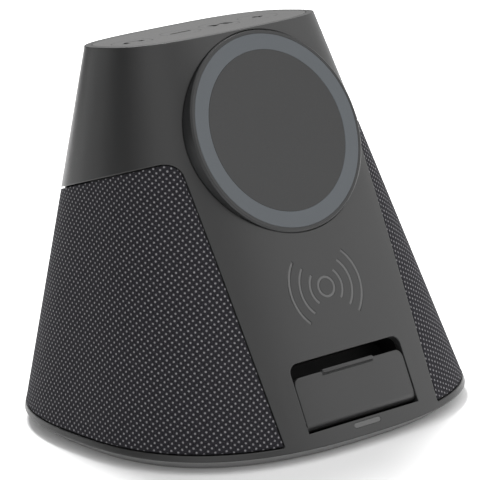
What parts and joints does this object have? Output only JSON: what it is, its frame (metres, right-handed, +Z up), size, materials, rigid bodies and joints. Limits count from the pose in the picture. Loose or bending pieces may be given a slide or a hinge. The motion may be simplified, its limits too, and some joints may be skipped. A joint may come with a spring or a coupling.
{
  "type": "conference speakerphone",
  "caption": "Tapered desktop speakerphone with cloth side grilles, a magnetic phone charging disc on its leaning front, a fold-out phone ledge and top keys.",
  "frame": {"origin": "on the table, under the middle of the base outline", "axes": "+Z up, -Y towards the leaning front with the charging disc, +X to the right seen from the front"},
  "size_m": [0.1292, 0.1122, 0.1148],
  "materials": {
    "housing": "fine satin texture",
    "mark": "printed, matte",
    "light": "frosted, unlit",
    "board": "solder mask",
    "base": "satin",
    "screw": "zinc plated",
    "foot": "matte",
    "top": "soft touch",
    "key": "soft touch",
    "switch": "bright",
    "mic": "bright",
    "cup": "satin",
    "pad_face": "soft touch",
    "pad_ring": "soft touch",
    "magnet": "nickel plated",
    "steel": "plain",
    "copper": "enamelled copper wire",
    "ferrite": "matte",
    "tray": "matte",
    "ledge": "fine satin texture",
    "chip": "moulded",
    "usb": "nickel plated",
    "holder": "plain",
    "cell": "shrink sleeve",
    "lead": "insulated wire",
    "frame": "plain",
    "cloth": "woven, two tone",
    "baffle": "plain",
    "basket": "black lacquer",
    "cone": "coated",
    "surround": "matte"
  },
  "bodies": {
    "housing": {"align_magnets": "magnet", "baffle_left": "baffle", "baffle_right": "baffle", "base_cover": "base", "base_screws": "screw", "battery_cell_left": "cell", "battery_cell_right": "cell", "battery_holder": "holder", "charge_board": "board", "charge_coil": "copper", "charge_mark": "mark", "driver_basket_left": "basket", "driver_basket_right": "basket", "driver_magnet_left": "magnet", "driver_magnet_right": "magnet", "driver_screws": "screw", "driver_surround_left": "surround", "driver_surround_right": "surround", "ferrite_disc": "ferrite", "foot_pad": "foot", "grille_cloth_left": "cloth", "grille_cloth_right": "cloth", "grille_frame_left": "frame", "grille_frame_right": "frame", "hinge_pin": "steel", "hinge_washers": "steel", "housing_shell": "housing", "key_board": "board", "key_board_screws": "screw", "key_switches": "switch", "ledge_tray": "tray", "light_board": "board", "light_window": "light", "magnet_keeper": "steel", "main_board": "board", "main_board_chips": "chip", "main_board_screws": "screw", "microphone": "mic", "pad_cup": "cup", "pad_face": "pad_face", "pad_ring": "pad_ring", "pad_screws": "screw", "power_board": "board", "power_board_parts": "chip", "speaker_leads": "lead", "top_plate": "top", "usb_receptacle": "usb"},
    "ledge_leaf": {"ledge": "ledge"},
    "call_key": {"key_call": "key"},
    "minus_key": {"key_minus": "key"},
    "play_key": {"key_play": "key"},
    "plus_key": {"key_plus": "key"},
    "left_cone": {"driver_cone_left": "cone"},
    "right_cone": {"driver_cone_right": "cone"}
  },
  "joints": [
    {"name": "ledge_hinge", "type": "hinge", "parent": "housing", "child": "ledge_leaf", "pos_m": [0, -0.05074, 0.00928], "axis": [1, 0, 0], "range_deg": [0, 90]},
    {"name": "call_press", "type": "slide", "parent": "housing", "child": "call_key", "axis": [0, -0.134, -0.991], "range_m": [0, 0.0004], "stiffness_N_per_m": 2500},
    {"name": "minus_press", "type": "slide", "parent": "housing", "child": "minus_key", "axis": [0, -0.134, -0.991], "range_m": [0, 0.0004], "stiffness_N_per_m": 2500},
    {"name": "play_press", "type": "slide", "parent": "housing", "child": "play_key", "axis": [0, -0.134, -0.991], "range_m": [0, 0.0004], "stiffness_N_per_m": 2500},
    {"name": "plus_press", "type": "slide", "parent": "housing", "child": "plus_key", "axis": [0, -0.134, -0.991], "range_m": [0, 0.0004], "stiffness_N_per_m": 2500},
    {"name": "left_cone_stroke", "type": "slide", "parent": "housing", "child": "left_cone", "axis": [-0.9674, 0, 0.2534], "range_m": [-0.0012, 0.0012], "stiffness_N_per_m": 1200},
    {"name": "right_cone_stroke", "type": "slide", "parent": "housing", "child": "right_cone", "axis": [0.9674, 0, 0.2534], "range_m": [-0.0012, 0.0012], "stiffness_N_per_m": 1200}
  ]
}
